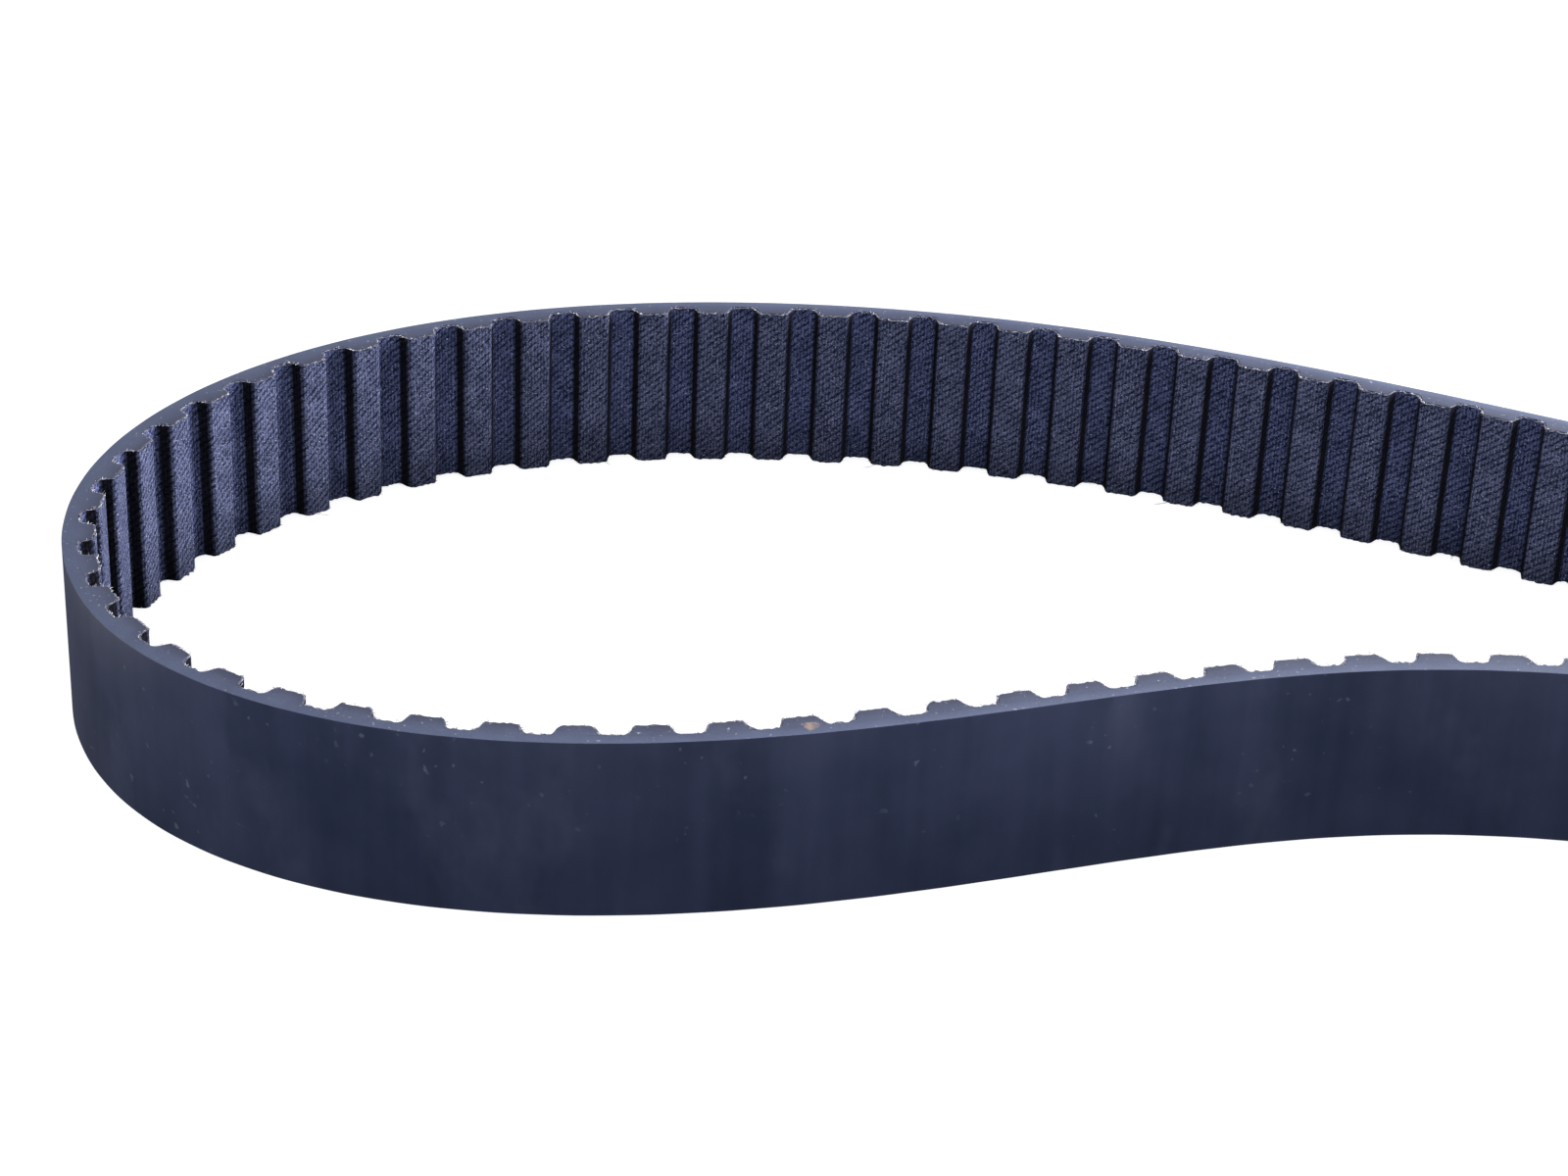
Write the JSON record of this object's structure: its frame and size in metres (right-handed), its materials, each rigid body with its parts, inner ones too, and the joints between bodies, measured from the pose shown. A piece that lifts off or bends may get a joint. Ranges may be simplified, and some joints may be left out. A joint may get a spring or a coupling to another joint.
{
  "type": "timing belt",
  "caption": "Endless toothed timing belt with a smooth rubber back, inner cords and woven-faced trapezoid teeth, lying slack on its edge.",
  "frame": {"origin": "centre of the loop in plan, on the plane of the lower cut edge that the belt lies on", "axes": "+Z across the belt's width, +X along the longer way of the dog-bone lay, +Y towards the back run"},
  "size_m": [0.4896, 0.1596, 0.0254],
  "materials": {
    "backing": "satin",
    "cords": "matte",
    "teeth": "matte",
    "facing": "woven matte"
  },
  "bodies": {
    "back_waist": {"backing_back_waist": "backing", "cords_back_waist": "cords", "teeth_back_waist": "teeth", "facing_back_waist": "facing"},
    "left_back": {"backing_left_back": "backing", "cords_left_back": "cords", "teeth_left_back": "teeth", "facing_left_back": "facing"},
    "left_bow": {"backing_left_bow": "backing", "cords_left_bow": "cords", "teeth_left_bow": "teeth", "facing_left_bow": "facing"},
    "left_front": {"backing_left_front": "backing", "cords_left_front": "cords", "teeth_left_front": "teeth", "facing_left_front": "facing"},
    "front_waist": {"backing_front_waist": "backing", "cords_front_waist": "cords", "teeth_front_waist": "teeth", "facing_front_waist": "facing"},
    "right_front": {"backing_right_front": "backing", "cords_right_front": "cords", "teeth_right_front": "teeth", "facing_right_front": "facing"},
    "right_bow": {"backing_right_bow": "backing", "cords_right_bow": "cords", "teeth_right_bow": "teeth", "facing_right_bow": "facing"},
    "right_back": {"backing_right_back": "backing", "cords_right_back": "cords", "teeth_right_back": "teeth", "facing_right_back": "facing"}
  },
  "joints": [
    {"name": "flex_left_back", "type": "hinge", "parent": "back_waist", "child": "left_back", "pos_m": [-0.05327, 0.05726, 0.0127], "axis": [0, 0, 1], "range_deg": [-10, 12], "stiffness_Nm_per_rad": 0.15},
    {"name": "flex_left_bow", "type": "hinge", "parent": "left_back", "child": "left_bow", "pos_m": [-0.192, 0.06952, 0.0127], "axis": [0, 0, 1], "range_deg": [-12, 10]},
    {"name": "flex_left_front", "type": "hinge", "parent": "left_bow", "child": "left_front", "pos_m": [-0.21251, -0.0484, 0.0127], "axis": [0, 0, 1], "range_deg": [-12, 10]},
    {"name": "flex_front_waist", "type": "hinge", "parent": "left_front", "child": "front_waist", "pos_m": [-0.07461, -0.02939, 0.0127], "axis": [0, 0, 1], "range_deg": [-10, 12]},
    {"name": "flex_right_front", "type": "hinge", "parent": "front_waist", "child": "right_front", "pos_m": [0.05327, -0.05726, 0.0127], "axis": [0, 0, 1], "range_deg": [-10, 12]},
    {"name": "flex_right_bow", "type": "hinge", "parent": "right_front", "child": "right_bow", "pos_m": [0.192, -0.06952, 0.0127], "axis": [0, 0, 1], "range_deg": [-12, 10]},
    {"name": "flex_right_back", "type": "hinge", "parent": "right_bow", "child": "right_back", "pos_m": [0.21251, 0.0484, 0.0127], "axis": [0, 0, 1], "range_deg": [-12, 10]}
  ],
  "couplings": [
    {"joint": "flex_left_bow", "follows": "flex_left_back", "ratio": -1},
    {"joint": "flex_left_front", "follows": "flex_left_back", "ratio": -1},
    {"joint": "flex_front_waist", "follows": "flex_left_back", "ratio": 1},
    {"joint": "flex_right_front", "follows": "flex_left_back", "ratio": 1},
    {"joint": "flex_right_bow", "follows": "flex_left_back", "ratio": -1},
    {"joint": "flex_right_back", "follows": "flex_left_back", "ratio": -1}
  ]
}
